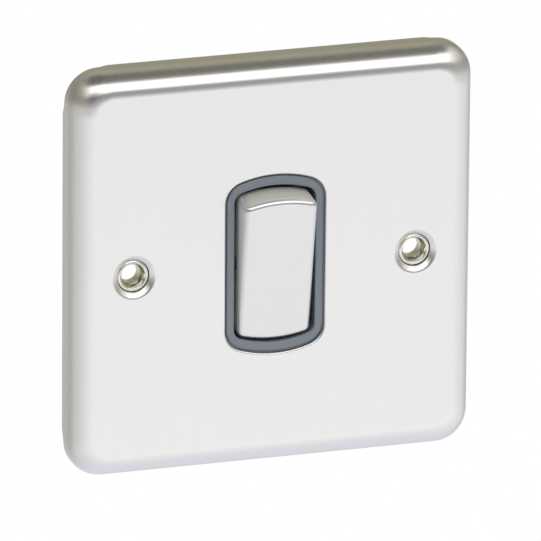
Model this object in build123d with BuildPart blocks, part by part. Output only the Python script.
"""One-gang rocker light switch: pressed steel wall plate with a steel-capped two-way rocker.

Frame: X to the right, Y into the wall, Z up. The wall plane is Y = 0 and the plate's
face looks along -Y. The rocker rests as in the photograph, with its top edge out.
"""
import os
from math import cos, radians, sin, sqrt

from build123d import *

os.makedirs("parts", exist_ok=True)

# Driving dimensions, in millimetres
PLATE = 86.0            # side of the square wall plate
DEPTH = 7.8             # plate face to wall
SHEET = 0.9             # plate sheet
CORNER_R = 7.0          # outline corner of the plate
EDGE_R = 5.0            # big rolled edge between face and skirt
RELIEF = 1.0            # skirt lifted off the wall at the corners
RELIEF_RUN = 9.0        # length of that relief from each outer edge
FACE_Y = -DEPTH
BACK_Y = FACE_Y + SHEET # rear side of the plate's flat

HOLE_X = 30.15          # fixing holes at 60.3 centres
HOLE_SHOULDER_R = 5.0   # where the pressed shoulder leaves the face
HOLE_FLANGE_R = 3.45    # inside of the pressed neck
HOLE_NECK_DEPTH = 2.2   # neck end, below the face
EYELET_TOP = 1.1        # eyelet rim below the face
EYELET_R = 3.43
EYELET_BORE_R = 1.95
EYELET_LIP_R = 2.6      # inner edge of the eyelet's rounded lip
EYELET_BARREL_R = 2.8
EYELET_END = 5.2        # eyelet tail below the face

OPEN_W = 17.3           # opening in the surround for the rocker
OPEN_H = 33.4
OPEN_ARC = 23.0
OPEN_CORNER = 2.2
OPEN_EDGE = 0.25
RING_BAND_X = 1.75      # width of the surround's ring at its sides
RING_BAND_Z = 2.05      # and at its ends
RING_GAP = 0.25         # black line round the surround
RING_DROP = 0.3         # surround face below the plate face
RING_EDGE = 0.35

APERTURE_W = OPEN_W + 2 * (RING_BAND_X + RING_GAP)  # plate's opening for the surround
APERTURE_H = OPEN_H + 2 * (RING_BAND_Z + RING_GAP)
APERTURE_ARC = 24.0
APERTURE_CORNER = 4.6
APERTURE_EDGE = 0.4     # rollover round the punched opening

FLANGE_W = 26.4         # surround flange behind the sheet
FLANGE_H = 43.6
FLANGE_T = 1.5
FLANGE_CORNER = 2.0
WELL_WALL = 1.3
WELL_END_Y = -1.6       # rear end of the well's bow-ended wall
WELL_FLOOR_Y = -0.5     # front of the well's floor, above and below the plunger
WELL_FLOOR_T = 1.0
WELL_FLOOR_Z = 4.3      # the floor starts this far from the pivot
PIVOT_EAR_Z = 3.4       # half height of the ears that carry the trunnions

ROCKER_W = 15.5
ROCKER_H = 31.7
ROCKER_ARC = 25.0
ROCKER_CORNER = 1.5
ROCKER_EDGE = 1.2
CAP_T = 0.6
CAP_SKIRT = 6.4
TILT = 9.0              # rocker tilt from upright, each way
PIVOT_Y = -4.08         # rocker pivot
PIVOT_TO_FACE = 5.6
TRUNNION_R = 1.2
TRUNNION_FIT = 0.05
CORE_FIT = 0.03         # core to cap, all round
CORE_REAR = 0.5         # rear of the core's block, behind the pivot
SPINE = 2.5             # half height of the core's spine across the pivot
PIVOT_BOSS_R = 1.55
NOTCH_FIT = 0.15        # cap's notch round the pivot boss
POCKET_X = 3.05         # centres and size of the four pockets in the core's rear
POCKET_Z = 9.2
POCKET_W = 4.9
POCKET_H = 8.0
POCKET_DEEP = 4.4

PLUNGER_R = 1.9
PLUNGER_TIP_R = 1.5
PLUNGER_REACH = 7.5     # pivot to the centre of the plunger's round tip
PLUNGER_NECK = 6.0      # pivot to the step down to the tip
PLUNGER_HEAD = 1.5      # pivot to the plunger's front shoulder
PLUNGER_FIT = 0.05
GUIDE_R = 3.3           # outside of the plunger's guide
GUIDE_END = 4.5         # pivot to the guide's rear end
GUIDE_DEEP = 3.5        # the guide's bore ends this far in front of the pivot
SPRING_R = 1.4
SPRING_WIRE_R = 0.22
SPRING_TURNS = 5.0
SPRING_LENGTH = 4.5
BLADE_Y = PIVOT_Y + 10  # pivot of the rocking contact
BLADE_TILT = 6.0
BLADE_T = 0.8
BLADE_W = 5.0
BLADE_L = 22.6
BLADE_CORNER = 1.6
BLADE_BAR_R = 0.9       # round bar under the rocking contact
TIP_Z = 9.5             # contact tips above and below the pivot
MOVING_TIP_R = 1.6
FIXED_TIP_R = 1.8
TIP_T = 0.8
TIP_PAD = 2.3           # half width of the strips under the fixed tips
FIXED_TIP_Y = BLADE_Y + 2.0
STRIP_Y = BLADE_Y + 2.75    # front of the brass strips
STRIP_T = 0.8

CARRIER_FIT = 0.3       # gap between the plate's sheet and the white tray inside it
CARRIER_INSET = SHEET + CARRIER_FIT
CARRIER = PLATE - 2 * CARRIER_INSET
CARRIER_T = 1.5
CARRIER_FLOOR_Y = BACK_Y + CARRIER_T
SEAT_FIT = 0.15         # gap round the surround's flange
SINK = 0.4              # how far ribs and bosses run into the floor that carries them
RIB_T = 1.2
RIB_REAR_Y = -3.2
RIB_Z = 30.0            # cross ribs above and below the housing
RIB_X = 22.6            # upright ribs beside the housing
BOSS_R = 5.6            # boss under each fixing hole
BOSS_RIB_Y = -4.2

HOUSING_W = 29.2
HOUSING_H = 46.4
HOUSING_WALL = 2.0
HOUSING_CORNER = 2.0
HOUSING_FRONT_Y = BACK_Y + FLANGE_T
HOUSING_REAR_Y = STRIP_Y + 2.8

WIRE_R = 1.9            # wire bore in each terminal
WIRE_Y = STRIP_Y - 3.4
WIRE_ENTRY = 5.2        # side of each square wire entry in the housing
TERM_W = 6.5
TERM_L = 8.0
TERM_EDGE = 0.3
TERM_X = 6.5
TERM_GAP = 0.6          # terminal end to the housing's end wall
TERM_FIT = 0.25         # terminal side to its partition
TERM_Z = HOUSING_H / 2 - HOUSING_WALL - TERM_GAP - TERM_L / 2
TERM_FRONT_Y = STRIP_Y - 6.8
PARTITION_T = 1.2
PARTITION_Y = TERM_FRONT_Y + 0.8
SCREW_R = 1.5
SCREW_FIT = 0.15
SCREW_HEAD_R = 2.3
SCREW_HEAD_T = 1.7
SLOT_W = 0.7              # driver slot in a terminal screw
SLOT_DEEP = 0.8

EAR_R = 3.1             # housing fixing ears and the bosses they sit on
EAR_X = HOUSING_W / 2 + 3.2
EAR_Z = HOUSING_H / 2 - 5.2
EAR_FRONT_Y = -3.4
EAR_T = 2.0
EAR_REAR_Y = EAR_FRONT_Y + EAR_T
EAR_SCREW_R = 1.25
EAR_HEAD_R = 2.5
EAR_HEAD_T = 1.6
EAR_RIB_Y = 3.4         # rear end of the rib behind each ear
CROSS = 3.0             # width of a housing screw's cross recess
GRIP_PITCH = 9.0        # spacing of the housing's side ribs
GUIDE_POST_Y = 1.2      # front of the posts beside the rocking contact

STRIP_BACK_Y = STRIP_Y + STRIP_T
STRIP_W = 4.6           # width of the strips at their terminals
STRIP_END_Z = TERM_Z + TERM_L / 2 - 0.2
CRADLE_HALF = 3.7       # half width of the rocking contact's cradle
CRADLE_T = 0.9
CRADLE_H = 3.0          # half height of the cradle's foot
CHEEK_H = 1.9           # half height of its cheeks, and how far they stand past the bar
STRIP_CORNER = 0.7

STRAP_T = 0.8           # earth strap
STRAP_W = 7.2
STRAP_EYE_R = 4.4
STRAP_Y0 = FACE_Y + EYELET_END - 0.6 - STRAP_T
EARTH_Z = -17.0
EARTH_W = 6.0
EARTH_L = 7.0
EARTH_WIRE_Y = 2.2
EARTH_REAR_Y = 5.4


def front(y):
    """Plane across the wall direction at depth y, looking out of the wall."""
    return Plane((0, y, 0), x_dir=(1, 0, 0), z_dir=(0, -1, 0))


def rocker_plane(n):
    """Plane across the tilted rocker, n in front of its pivot."""
    c, s = cos(radians(TILT)), sin(radians(TILT))
    return Plane((0, PIVOT_Y - n * c, -n * s), x_dir=(1, 0, 0), z_dir=(0, -c, -s))


def blade_plane(n):
    """Plane across the rocking contact, n in front of its pivot."""
    c, s = cos(radians(BLADE_TILT)), sin(radians(BLADE_TILT))
    return Plane((0, BLADE_Y - n * c, n * s), x_dir=(1, 0, 0), z_dir=(0, -c, s))


def arched(plane, width, height, arc, corner):
    """Upright outline with bowed top and bottom edges and rounded corners."""
    w, h = width / 2, height / 2
    e = h - (arc - sqrt(arc * arc - w * w))
    with BuildSketch(plane) as outline:
        with BuildLine():
            Line((-w, -e), (-w, e))
            ThreePointArc((-w, e), (0, h), (w, e))
            Line((w, e), (w, -e))
            ThreePointArc((w, -e), (0, -h), (-w, -e))
        make_face()
        fillet(outline.vertices(), corner)
    return outline.sketch


def box_at(x0, x1, y0, y1, z0, z1, mode=Mode.ADD):
    """Block between the given coordinates."""
    with BuildSketch(front(y1)) as section:
        with Locations(((x0 + x1) / 2, (z0 + z1) / 2)):
            Rectangle(abs(x1 - x0), abs(z1 - z0))
    extrude(section.sketch, amount=y1 - y0, mode=mode)


def round_at(x, z, r, y0, y1, mode=Mode.ADD):
    """Cylinder along Y between depths y0 and y1."""
    with BuildSketch(front(y1)) as section:
        with Locations((x, z)):
            Circle(r)
    extrude(section.sketch, amount=y1 - y0, mode=mode)


def edges_at_y(part, y, width, height):
    """Edges lying at depth y within an opening of the given width and height."""
    found = []
    for e in part.edges():
        b = e.bounding_box()
        flat = abs(b.min.Y - y) < 0.01 and abs(b.max.Y - y) < 0.01
        across, up = max(abs(b.min.X), abs(b.max.X)), max(abs(b.min.Z), abs(b.max.Z))
        if flat and across < width / 2 + 0.1 and up < height / 2 + 0.1:
            found.append(e)
    return found


def side_box(side, x0, x1, y0, y1, z0, z1):
    """Block from x0 to x1 on the right, or its mirror image where side is -1."""
    box_at(min(side * x0, side * x1), max(side * x0, side * x1), y0, y1, z0, z1)


def end_box(end, x0, x1, y0, y1, z0, z1):
    """Block from z0 to z1 at the top, or its mirror image where end is -1."""
    box_at(x0, x1, y0, y1, min(end * z0, end * z1), max(end * z0, end * z1))


# Wall plate: one brushed steel pressing with a deep rolled edge, two necked fixing holes
# and a bow-ended opening. Its skirt is lifted off the wall at the four corners.
with BuildPart() as front_plate:
    with BuildSketch(front(0)):
        RectangleRounded(PLATE, PLATE, CORNER_R)
    extrude(amount=DEPTH)
    fillet(edges_at_y(front_plate.part, FACE_Y, PLATE, PLATE), EDGE_R)
    offset(amount=-SHEET, openings=front_plate.faces().sort_by(Axis.Y)[-1])
    outline = arched(front(BACK_Y + 0.5), APERTURE_W, APERTURE_H, APERTURE_ARC, APERTURE_CORNER)
    extrude(outline, amount=SHEET + 1.0, mode=Mode.SUBTRACT)
    fillet(edges_at_y(front_plate.part, FACE_Y, APERTURE_W, APERTURE_H), APERTURE_EDGE)
    for sx in (-1, 1):
        round_at(sx * HOLE_X, 0, HOLE_SHOULDER_R, FACE_Y - 0.1, BACK_Y + 0.1, Mode.SUBTRACT)
        ri, ro = HOLE_FLANGE_R, HOLE_FLANGE_R + SHEET
        bend = HOLE_SHOULDER_R - HOLE_FLANGE_R
        k = sqrt(0.5)
        with BuildSketch(Plane.XY):
            with BuildLine():
                x0 = sx * HOLE_X
                cx, cy = x0 + HOLE_SHOULDER_R, FACE_Y + bend
                ThreePointArc((cx, FACE_Y), (cx - bend * k, cy - bend * k), (x0 + ri, cy))
                Line((x0 + ri, cy), (x0 + ri, FACE_Y + HOLE_NECK_DEPTH))
                Line((x0 + ri, FACE_Y + HOLE_NECK_DEPTH), (x0 + ro, FACE_Y + HOLE_NECK_DEPTH))
                Line((x0 + ro, FACE_Y + HOLE_NECK_DEPTH), (x0 + ro, cy))
                Line((x0 + ro, cy), (cx, BACK_Y))
                Line((cx, BACK_Y), (cx, FACE_Y))
            make_face()
        revolve(axis=Axis((x0, 0, 0), (0, 1, 0)))
    half = PLATE / 2
    side = RELIEF_RUN + 2.0
    middle = half - RELIEF_RUN + side / 2
    with BuildSketch(front(0.2)):
        for sx in (-1, 1):
            for sz in (-1, 1):
                with Locations((sx * middle, sz * middle)):
                    Rectangle(side, side)
    extrude(amount=RELIEF + 0.2, taper=35, mode=Mode.SUBTRACT)
front_plate.part.label = "front_plate"
export_step(front_plate.part, "parts/front_plate.step")


def eyelet_profile(x0):
    """Half section of a funnel eyelet with a rounded lip and a rolled tail, drawn beside the axis at x0."""
    y_top, y_end = FACE_Y + EYELET_TOP, FACE_Y + EYELET_END
    y_seat = FACE_Y + HOLE_NECK_DEPTH
    tail_r = EYELET_BARREL_R + 0.6
    with BuildSketch(Plane.XY) as section:
        with BuildLine():
            lip = ThreePointArc(
                (x0 + EYELET_R, y_top + 0.2),
                (x0 + (EYELET_R + EYELET_LIP_R) / 2, y_top),
                (x0 + EYELET_LIP_R, y_top + 0.2),
            )
            tail = ThreePointArc(
                (x0 + EYELET_BORE_R + 0.2, y_end),
                (x0 + tail_r - 0.1, y_end - 0.1),
                (x0 + tail_r, y_end - 0.4),
            )
            Polyline(lip @ 1, (x0 + EYELET_BORE_R + 0.1, y_seat), (x0 + EYELET_BORE_R, y_seat + 0.3),
                     (x0 + EYELET_BORE_R, y_end - 0.2), tail @ 0)
            Polyline(tail @ 1, (x0 + tail_r - 0.15, y_end - 0.6), (x0 + EYELET_BARREL_R, y_end - 0.6),
                     (x0 + EYELET_BARREL_R, y_seat), (x0 + EYELET_R, y_seat), lip @ 0)
        make_face()
    return section.sketch


# Funnel eyelets that line the fixing holes, rolled over at the back
with BuildPart() as left_eyelet:
    revolve(eyelet_profile(-HOLE_X), axis=Axis((-HOLE_X, 0, 0), (0, 1, 0)))
left_eyelet.part.label = "left_eyelet"
export_step(left_eyelet.part, "parts/left_eyelet.step")

with BuildPart() as right_eyelet:
    revolve(eyelet_profile(HOLE_X), axis=Axis((HOLE_X, 0, 0), (0, 1, 0)))
right_eyelet.part.label = "right_eyelet"
export_step(right_eyelet.part, "parts/right_eyelet.step")


# Rocker surround: dark moulding with a raised ring in the plate's opening, a flange behind
# the sheet and a floored well whose sides carry the rocker's trunnions
with BuildPart() as rocker_surround:
    ring_w, ring_h = APERTURE_W - 2 * RING_GAP, APERTURE_H - 2 * RING_GAP
    ring_y = FACE_Y + RING_DROP
    outline = arched(front(BACK_Y), ring_w, ring_h, APERTURE_ARC, APERTURE_CORNER - RING_GAP)
    extrude(outline, amount=BACK_Y - ring_y)
    fillet(edges_at_y(rocker_surround.part, ring_y, ring_w, ring_h), RING_EDGE)
    with BuildSketch(front(BACK_Y + FLANGE_T)):
        RectangleRounded(FLANGE_W, FLANGE_H, FLANGE_CORNER)
    extrude(amount=FLANGE_T)
    well_x0, well_x1 = OPEN_W / 2, OPEN_W / 2 + WELL_WALL
    well_z1 = OPEN_H / 2 + WELL_WALL
    outline = arched(front(WELL_END_Y), 2 * well_x1, 2 * well_z1, OPEN_ARC, OPEN_CORNER + 1.0)
    extrude(outline, amount=WELL_END_Y - (BACK_Y + 0.5))
    floor_rear = WELL_FLOOR_Y + WELL_FLOOR_T
    for side in (-1, 1):
        side_box(side, well_x0, well_x1, WELL_END_Y, floor_rear, -PIVOT_EAR_Z, PIVOT_EAR_Z)
    outline = arched(front(1.0), OPEN_W, OPEN_H, OPEN_ARC, OPEN_CORNER)
    extrude(outline, amount=12, mode=Mode.SUBTRACT)
    fillet(edges_at_y(rocker_surround.part, ring_y, OPEN_W, OPEN_H), OPEN_EDGE)
    for end in (-1, 1):
        end_box(end, -well_x1, well_x1, WELL_FLOOR_Y, floor_rear, WELL_FLOOR_Z, well_z1)
        end_box(end, -well_x1, well_x1, WELL_END_Y - 0.1, floor_rear, OPEN_H / 2 + 0.05, well_z1)
        for side in (-1, 1):
            side_box(side, well_x0, well_x1, WELL_END_Y - 0.1, floor_rear, end * PIVOT_EAR_Z, end * well_z1)
    with BuildSketch(Plane.YZ.offset(-FLANGE_W / 2)):
        with Locations((PIVOT_Y, 0)):
            Circle(TRUNNION_R + TRUNNION_FIT)
    extrude(amount=FLANGE_W, mode=Mode.SUBTRACT)
rocker_surround.part.label = "rocker_surround"
export_step(rocker_surround.part, "parts/rocker_surround.step")


# Rocker cap: drawn steel cap with a flat face and a straight skirt, notched round the pivot
with BuildPart() as rocker_cap:
    outline = arched(rocker_plane(PIVOT_TO_FACE - CAP_SKIRT), ROCKER_W, ROCKER_H, ROCKER_ARC, ROCKER_CORNER)
    extrude(outline, amount=CAP_SKIRT)
    top = rocker_plane(PIVOT_TO_FACE)
    rim = [f for f in rocker_cap.faces() if f.normal_at().dot(top.z_dir) > 0.999][0]
    fillet(rim.edges(), ROCKER_EDGE)
    outline = arched(
        rocker_plane(PIVOT_TO_FACE - CAP_SKIRT - 0.5), ROCKER_W - 2 * CAP_T, ROCKER_H - 2 * CAP_T,
        ROCKER_ARC, ROCKER_CORNER - CAP_T,
    )
    extrude(outline, amount=CAP_SKIRT + 0.5 - CAP_T, mode=Mode.SUBTRACT)
    notch_r = PIVOT_BOSS_R + NOTCH_FIT
    rear_y, rear_z = PIVOT_Y + notch_r * cos(radians(TILT)), notch_r * sin(radians(TILT))
    with BuildSketch(Plane.YZ.offset(-ROCKER_W)):
        with Locations((PIVOT_Y, 0)):
            Circle(notch_r)
        with Locations((rear_y, rear_z)):
            Rectangle(2 * notch_r, 2 * notch_r, rotation=TILT)
    extrude(amount=2 * ROCKER_W, mode=Mode.SUBTRACT)
rocker_cap.part.label = "rocker_cap"
export_step(rocker_cap.part, "parts/rocker_cap.step")


# Rocker core: dark moulding inside the cap, with trunnions, weight-saving pockets and the
# guide for the sprung plunger
with BuildPart() as rocker_core:
    core_w = ROCKER_W - 2 * (CAP_T + CORE_FIT)
    core_h = ROCKER_H - 2 * (CAP_T + CORE_FIT)
    outline = arched(rocker_plane(-CORE_REAR), core_w, core_h, ROCKER_ARC, ROCKER_CORNER - CAP_T)
    extrude(outline, amount=PIVOT_TO_FACE - CAP_T + CORE_REAR)
    with BuildSketch(rocker_plane(-CORE_REAR)):
        for st in (-1, 1):
            for sx in (-1, 1):
                with Locations((sx * POCKET_X, st * POCKET_Z)):
                    RectangleRounded(POCKET_W, POCKET_H, 0.6)
    extrude(amount=POCKET_DEEP, mode=Mode.SUBTRACT)
    with BuildSketch(rocker_plane(-GUIDE_END)):
        Circle(GUIDE_R)
    extrude(amount=GUIDE_END - CORE_REAR + 0.2)
    with BuildSketch(rocker_plane(-PIVOT_BOSS_R + 0.05)):
        Rectangle(core_w, 2 * SPINE)
    extrude(amount=PIVOT_BOSS_R - CORE_REAR + 0.15)
    boss_x = OPEN_W / 2 - 0.3
    with BuildSketch(Plane.YZ.offset(-boss_x)):
        with Locations((PIVOT_Y, 0)):
            Circle(PIVOT_BOSS_R)
    extrude(amount=2 * boss_x)
    trunnion_x = OPEN_W / 2 + WELL_WALL - 0.15
    with BuildSketch(Plane.YZ.offset(-trunnion_x)):
        with Locations((PIVOT_Y, 0)):
            Circle(TRUNNION_R)
    extrude(amount=2 * trunnion_x)
    with BuildSketch(rocker_plane(-GUIDE_END - 0.1)):
        Circle(PLUNGER_R + PLUNGER_FIT)
    extrude(amount=GUIDE_END + 0.1 + GUIDE_DEEP, mode=Mode.SUBTRACT)
rocker_core.part.label = "rocker_core"
export_step(rocker_core.part, "parts/rocker_core.step")


# Plunger: sprung pin with a round nose that rides on the rocking contact
with BuildPart() as plunger:
    with BuildSketch(rocker_plane(-PLUNGER_NECK)):
        Circle(PLUNGER_R)
    extrude(amount=PLUNGER_NECK - PLUNGER_HEAD)
    with BuildSketch(rocker_plane(-PLUNGER_REACH)):
        Circle(PLUNGER_TIP_R)
    extrude(amount=PLUNGER_REACH - PLUNGER_NECK)
    with BuildSketch(rocker_plane(-PLUNGER_HEAD)):
        Circle(SPRING_R - SPRING_WIRE_R - 0.18)
    extrude(amount=PLUNGER_HEAD - 0.1)
    with Locations(rocker_plane(-PLUNGER_REACH).origin):
        Sphere(PLUNGER_TIP_R)
plunger.part.label = "plunger"
export_step(plunger.part, "parts/plunger.step")


# Plunger spring: steel coil between the plunger's shoulder and the end of its guide
with BuildPart() as plunger_spring:
    start = rocker_plane(-PLUNGER_HEAD + SPRING_WIRE_R)
    pitch = SPRING_LENGTH / SPRING_TURNS
    with BuildLine():
        coil = Helix(pitch, SPRING_LENGTH, SPRING_R, center=start.origin, direction=start.z_dir)
    with BuildSketch(Plane(origin=coil @ 0, z_dir=coil % 0)):
        RegularPolygon(SPRING_WIRE_R, 6)
    sweep()
plunger_spring.part.label = "plunger_spring"
export_step(plunger_spring.part, "parts/plunger_spring.step")


# Rocking contact: stiff strip with a round pivot bar, driven by the plunger
with BuildPart() as contact_blade:
    with BuildSketch(blade_plane(0.1)):
        RectangleRounded(BLADE_W, BLADE_L, BLADE_CORNER)
    extrude(amount=BLADE_T)
    bar_x = CRADLE_HALF + 0.2
    with BuildSketch(Plane.YZ.offset(-bar_x)):
        with Locations((BLADE_Y, 0)):
            Circle(BLADE_BAR_R)
    extrude(amount=2 * bar_x)
contact_blade.part.label = "contact_blade"
export_step(contact_blade.part, "parts/contact_blade.step")

with BuildPart() as upper_moving_tip:
    with BuildSketch(blade_plane(0.1 - TIP_T)):
        with Locations((0, TIP_Z)):
            Circle(MOVING_TIP_R)
    extrude(amount=TIP_T)
upper_moving_tip.part.label = "upper_moving_tip"
export_step(upper_moving_tip.part, "parts/upper_moving_tip.step")

with BuildPart() as lower_moving_tip:
    with BuildSketch(blade_plane(0.1 - TIP_T)):
        with Locations((0, -TIP_Z)):
            Circle(MOVING_TIP_R)
    extrude(amount=TIP_T)
lower_moving_tip.part.label = "lower_moving_tip"
export_step(lower_moving_tip.part, "parts/lower_moving_tip.step")

# Fixed contact tips under the ends of the rocking contact
with BuildPart() as upper_fixed_tip:
    round_at(0, TIP_Z, FIXED_TIP_R, FIXED_TIP_Y, STRIP_Y)
upper_fixed_tip.part.label = "upper_fixed_tip"
export_step(upper_fixed_tip.part, "parts/upper_fixed_tip.step")

with BuildPart() as lower_fixed_tip:
    round_at(0, -TIP_Z, FIXED_TIP_R, FIXED_TIP_Y, STRIP_Y)
lower_fixed_tip.part.label = "lower_fixed_tip"
export_step(lower_fixed_tip.part, "parts/lower_fixed_tip.step")


def bracket_corners(part):
    """The outer corners of a flat strip: its edges along Y."""
    return part.edges().filter_by(Axis.Y)


# Pivot bracket: brass cradle for the rocking contact, with an arm to the common terminal
with BuildPart() as pivot_bracket:
    arm_x0, arm_x1 = TERM_X - STRIP_W / 2, TERM_X + STRIP_W / 2
    box_at(-CRADLE_HALF, arm_x1, STRIP_Y, STRIP_BACK_Y, -CRADLE_H, CRADLE_H)
    box_at(arm_x0, arm_x1, STRIP_Y, STRIP_BACK_Y, 0, STRIP_END_Z)
    fillet(bracket_corners(pivot_bracket.part), STRIP_CORNER)
    for side in (-1, 1):
        side_box(side, CRADLE_HALF - CRADLE_T, CRADLE_HALF, BLADE_Y - CHEEK_H, STRIP_BACK_Y, -CHEEK_H, CHEEK_H)
    with BuildSketch(Plane.YZ.offset(-CRADLE_HALF - 1)):
        with Locations((BLADE_Y, 0)):
            Circle(BLADE_BAR_R + 0.05)
    extrude(amount=2 * CRADLE_HALF + 2, mode=Mode.SUBTRACT)
    round_at(TERM_X, TERM_Z, SCREW_R + SCREW_FIT, STRIP_Y - 1, STRIP_BACK_Y + 1, Mode.SUBTRACT)
pivot_bracket.part.label = "pivot_bracket"
export_step(pivot_bracket.part, "parts/pivot_bracket.step")

# Brass strips that join the fixed tips to their terminals
with BuildPart() as upper_contact_strip:
    box_at(-arm_x1, TIP_PAD, STRIP_Y, STRIP_BACK_Y, TIP_Z - TIP_PAD, TIP_Z + TIP_PAD)
    box_at(-arm_x1, -arm_x0, STRIP_Y, STRIP_BACK_Y, TIP_Z - TIP_PAD, STRIP_END_Z)
    fillet(bracket_corners(upper_contact_strip.part), STRIP_CORNER)
    round_at(-TERM_X, TERM_Z, SCREW_R + SCREW_FIT, STRIP_Y - 1, STRIP_BACK_Y + 1, Mode.SUBTRACT)
upper_contact_strip.part.label = "upper_contact_strip"
export_step(upper_contact_strip.part, "parts/upper_contact_strip.step")

with BuildPart() as lower_contact_strip:
    box_at(-TIP_PAD, TIP_PAD, STRIP_Y, STRIP_BACK_Y, -STRIP_END_Z, -TIP_Z + TIP_PAD)
    fillet(bracket_corners(lower_contact_strip.part), STRIP_CORNER)
    round_at(0, -TERM_Z, SCREW_R + SCREW_FIT, STRIP_Y - 1, STRIP_BACK_Y + 1, Mode.SUBTRACT)
lower_contact_strip.part.label = "lower_contact_strip"
export_step(lower_contact_strip.part, "parts/lower_contact_strip.step")


def terminal_block(x, z, width, run, y0, y1, wire_y):
    """Brass block with rounded long edges, an upright wire bore and a screw hole from the rear."""
    with BuildSketch(Plane((x, 0, z - run / 2), x_dir=(1, 0, 0), z_dir=(0, 0, 1))) as section:
        with Locations((0, (y0 + y1) / 2)):
            RectangleRounded(width, y1 - y0, TERM_EDGE)
        with Locations((0, wire_y)):
            Circle(WIRE_R, mode=Mode.SUBTRACT)
    extrude(section.sketch, amount=run)
    round_at(x, z, SCREW_R, wire_y, y1 + 1, Mode.SUBTRACT)


# Terminals: common and first way at the top, second way at the bottom
with BuildPart() as common_terminal:
    terminal_block(TERM_X, TERM_Z, TERM_W, TERM_L, TERM_FRONT_Y, STRIP_Y, WIRE_Y)
common_terminal.part.label = "common_terminal"
export_step(common_terminal.part, "parts/common_terminal.step")

with BuildPart() as upper_terminal:
    terminal_block(-TERM_X, TERM_Z, TERM_W, TERM_L, TERM_FRONT_Y, STRIP_Y, WIRE_Y)
upper_terminal.part.label = "upper_terminal"
export_step(upper_terminal.part, "parts/upper_terminal.step")

with BuildPart() as lower_terminal:
    terminal_block(0, -TERM_Z, TERM_W, TERM_L, TERM_FRONT_Y, STRIP_Y, WIRE_Y)
lower_terminal.part.label = "lower_terminal"
export_step(lower_terminal.part, "parts/lower_terminal.step")


def slotted_screw(x, z, y_tip, y_seat):
    """Cheese-head screw along Y, seated at y_seat, with a straight slot across its head."""
    round_at(x, z, SCREW_R, y_tip, y_seat + 0.2)
    round_at(x, z, SCREW_HEAD_R, y_seat, y_seat + SCREW_HEAD_T)
    slot_y = y_seat + SCREW_HEAD_T - SLOT_DEEP
    reach, half = SCREW_HEAD_R + 1, SLOT_W / 2
    box_at(x - reach, x + reach, slot_y, slot_y + 2, z - half, z + half, Mode.SUBTRACT)


# Terminal screws, wound back clear of the wire bores
with BuildPart() as terminal_screws:
    for x, z in ((TERM_X, TERM_Z), (-TERM_X, TERM_Z), (0, -TERM_Z)):
        slotted_screw(x, z, WIRE_Y + WIRE_R + 0.1, STRIP_BACK_Y)
terminal_screws.part.label = "terminal_screws"
export_step(terminal_screws.part, "parts/terminal_screws.step")


# Earth strap under the right eyelet's tail, with its terminal and screw
with BuildPart() as earth_strap:
    strap_top = STRAP_W / 2 + 0.3
    strap_bottom = EARTH_Z - EARTH_L / 2 - 0.2
    with BuildSketch(front(STRAP_Y0 + STRAP_T)):
        with Locations((HOLE_X, (strap_top + strap_bottom) / 2)):
            RectangleRounded(STRAP_W, strap_top - strap_bottom, 2.4)
        with Locations((HOLE_X, 0)):
            Circle(STRAP_EYE_R)
        with Locations((HOLE_X, 0)):
            Circle(EYELET_BARREL_R + 0.02, mode=Mode.SUBTRACT)
    extrude(amount=STRAP_T)
earth_strap.part.label = "earth_strap"
export_step(earth_strap.part, "parts/earth_strap.step")

with BuildPart() as earth_terminal:
    terminal_block(HOLE_X, EARTH_Z, EARTH_W, EARTH_L, STRAP_Y0 + STRAP_T, EARTH_REAR_Y, EARTH_WIRE_Y)
earth_terminal.part.label = "earth_terminal"
export_step(earth_terminal.part, "parts/earth_terminal.step")

with BuildPart() as earth_screw:
    slotted_screw(HOLE_X, EARTH_Z, EARTH_WIRE_Y + WIRE_R + 0.1, EARTH_REAR_Y)
earth_screw.part.label = "earth_screw"
export_step(earth_screw.part, "parts/earth_screw.step")


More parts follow.
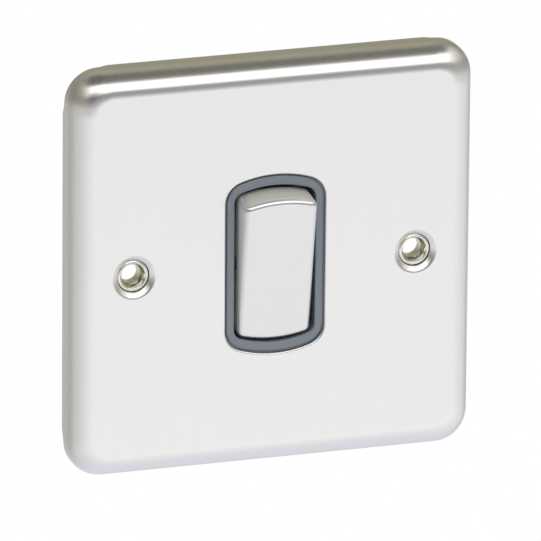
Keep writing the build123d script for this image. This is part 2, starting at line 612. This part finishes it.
# Carrier frame: white moulded tray nested in the plate, ribbed behind, with its rim on the wall
with BuildPart() as carrier_frame:
    with BuildSketch(front(0)):
        RectangleRounded(CARRIER, CARRIER, CORNER_R - CARRIER_INSET)
    extrude(amount=-BACK_Y)
    fillet(edges_at_y(carrier_frame.part, BACK_Y, PLATE, PLATE), EDGE_R - CARRIER_INSET)
    offset(amount=-CARRIER_T, openings=carrier_frame.faces().sort_by(Axis.Y)[-1])
    root_y = CARRIER_FLOOR_Y - SINK
    rib_end = CARRIER / 2 - CARRIER_T + 0.2
    window_w, window_h = FLANGE_W + 2 * SEAT_FIT, FLANGE_H + 2 * SEAT_FIT
    for side, rear in ((-1, STRAP_Y0 + STRAP_T), (1, STRAP_Y0)):
        round_at(side * HOLE_X, 0, BOSS_R, root_y, rear)
        side_box(side, HOLE_X + BOSS_R - 0.55, rib_end, root_y, BOSS_RIB_Y, -RIB_T / 2, RIB_T / 2)
        side_box(side, RIB_X, HOLE_X - BOSS_R + 0.45, root_y, BOSS_RIB_Y, -RIB_T / 2, RIB_T / 2)
        side_box(side, RIB_X - RIB_T / 2, RIB_X + RIB_T / 2, root_y, RIB_REAR_Y, -rib_end, rib_end)
        for end in (-1, 1):
            round_at(side * EAR_X, end * EAR_Z, EAR_R, root_y, EAR_FRONT_Y)
    for end in (-1, 1):
        end_box(end, -rib_end, rib_end, root_y, RIB_REAR_Y, RIB_Z - RIB_T / 2, RIB_Z + RIB_T / 2)
        end_box(end, -RIB_T / 2, RIB_T / 2, root_y, RIB_REAR_Y, window_h / 2 + 3, rib_end)
    with BuildSketch(front(0)):
        RectangleRounded(window_w, window_h, FLANGE_CORNER + 0.1)
    extrude(amount=DEPTH, mode=Mode.SUBTRACT)
    for side in (-1, 1):
        round_at(side * HOLE_X, 0, HOLE_SHOULDER_R + 0.05, FACE_Y, FACE_Y + HOLE_NECK_DEPTH, Mode.SUBTRACT)
        round_at(side * HOLE_X, 0, EYELET_BARREL_R + 0.02, FACE_Y, 0, Mode.SUBTRACT)
        for end in (-1, 1):
            round_at(side * EAR_X, end * EAR_Z, EAR_SCREW_R + 0.02, FACE_Y, EAR_FRONT_Y + 0.1, Mode.SUBTRACT)
carrier_frame.part.label = "carrier_frame"
export_step(carrier_frame.part, "parts/carrier_frame.step")


# Switch housing: dark moulded box behind the rocker that holds the contacts and terminals,
# with a square entry for each wire and a recess for each terminal screw
with BuildPart() as switch_housing:
    with BuildSketch(front(HOUSING_REAR_Y)):
        RectangleRounded(HOUSING_W, HOUSING_H, HOUSING_CORNER)
    extrude(amount=HOUSING_REAR_Y - HOUSING_FRONT_Y)
    rear_rim = [f for f in switch_housing.faces() if f.normal_at().Y > 0.999][0]
    chamfer(rear_rim.edges(), 0.8)
    half_w = HOUSING_W / 2
    for side in (-1, 1):
        for end in (-1, 1):
            ear_z = end * EAR_Z
            rib_z = end * (EAR_Z - 0.6)
            round_at(side * EAR_X, ear_z, EAR_R, EAR_FRONT_Y, EAR_REAR_Y)
            side_box(side, half_w - 0.6, EAR_X, EAR_FRONT_Y, EAR_REAR_Y, ear_z - EAR_R, ear_z + EAR_R)
            side_box(side, half_w - 0.6, EAR_X - EAR_HEAD_R - 0.1, EAR_REAR_Y, EAR_RIB_Y,
                     rib_z - RIB_T / 2, rib_z + RIB_T / 2)
        for z in (-GRIP_PITCH, 0, GRIP_PITCH):
            side_box(side, half_w - 0.2, half_w + 0.8, EAR_REAR_Y - 0.6, HOUSING_REAR_Y - 1.2,
                     z - RIB_T / 2, z + RIB_T / 2)
    inner_y = HOUSING_REAR_Y - HOUSING_WALL
    inner_x, inner_z = HOUSING_W / 2 - HOUSING_WALL, HOUSING_H / 2 - HOUSING_WALL
    with BuildSketch(front(inner_y)):
        RectangleRounded(2 * inner_x, 2 * inner_z, 1.0)
    extrude(amount=inner_y - HOUSING_FRONT_Y + 1, mode=Mode.SUBTRACT)
    term_start = TERM_Z - TERM_L / 2
    pair_x = TERM_X + TERM_W / 2 + TERM_FIT
    lone_x = TERM_W / 2 + TERM_FIT
    for side in (-1, 1):
        side_box(side, pair_x, pair_x + PARTITION_T, PARTITION_Y, inner_y, term_start, inner_z)
        side_box(side, lone_x, lone_x + PARTITION_T, PARTITION_Y, inner_y, -inner_z, -term_start)
        side_box(side, inner_x - 2.0, inner_x + 0.2, GUIDE_POST_Y, inner_y, -CRADLE_H, CRADLE_H)
    box_at(-PARTITION_T / 2, PARTITION_T / 2, PARTITION_Y - 1.4, inner_y, term_start, inner_z)
    for x, z in ((TERM_X, TERM_Z), (-TERM_X, TERM_Z), (0, -TERM_Z)):
        round_at(x, z, SCREW_HEAD_R + 0.4, inner_y - 0.2, HOUSING_REAR_Y + 1, Mode.SUBTRACT)
        end = 1 if z > 0 else -1
        with BuildSketch(Plane((x, WIRE_Y, end * (inner_z - 0.5)), x_dir=(1, 0, 0), z_dir=(0, 0, end))):
            RectangleRounded(WIRE_ENTRY, WIRE_ENTRY, 0.7)
        extrude(amount=HOUSING_WALL + 2, mode=Mode.SUBTRACT)
    for side in (-1, 1):
        for end in (-1, 1):
            round_at(side * EAR_X, end * EAR_Z, EAR_SCREW_R + 0.25, EAR_FRONT_Y - 1, EAR_REAR_Y + 1,
                     Mode.SUBTRACT)
switch_housing.part.label = "switch_housing"
export_step(switch_housing.part, "parts/switch_housing.step")


# Housing screws: four pan heads with cross recesses, driven from behind into the carrier
with BuildPart() as housing_screws:
    for side in (-1, 1):
        for end in (-1, 1):
            x, z = side * EAR_X, end * EAR_Z
            head_y = EAR_REAR_Y + EAR_HEAD_T
            round_at(x, z, EAR_SCREW_R, EAR_FRONT_Y - 1.6, EAR_REAR_Y + 0.2)
            round_at(x, z, EAR_HEAD_R, EAR_REAR_Y, head_y)
            box_at(x - CROSS / 2, x + CROSS / 2, head_y - 0.7, head_y + 1, z - 0.3, z + 0.3, Mode.SUBTRACT)
            box_at(x - 0.3, x + 0.3, head_y - 0.7, head_y + 1, z - CROSS / 2, z + CROSS / 2, Mode.SUBTRACT)
housing_screws.part.label = "housing_screws"
export_step(housing_screws.part, "parts/housing_screws.step")
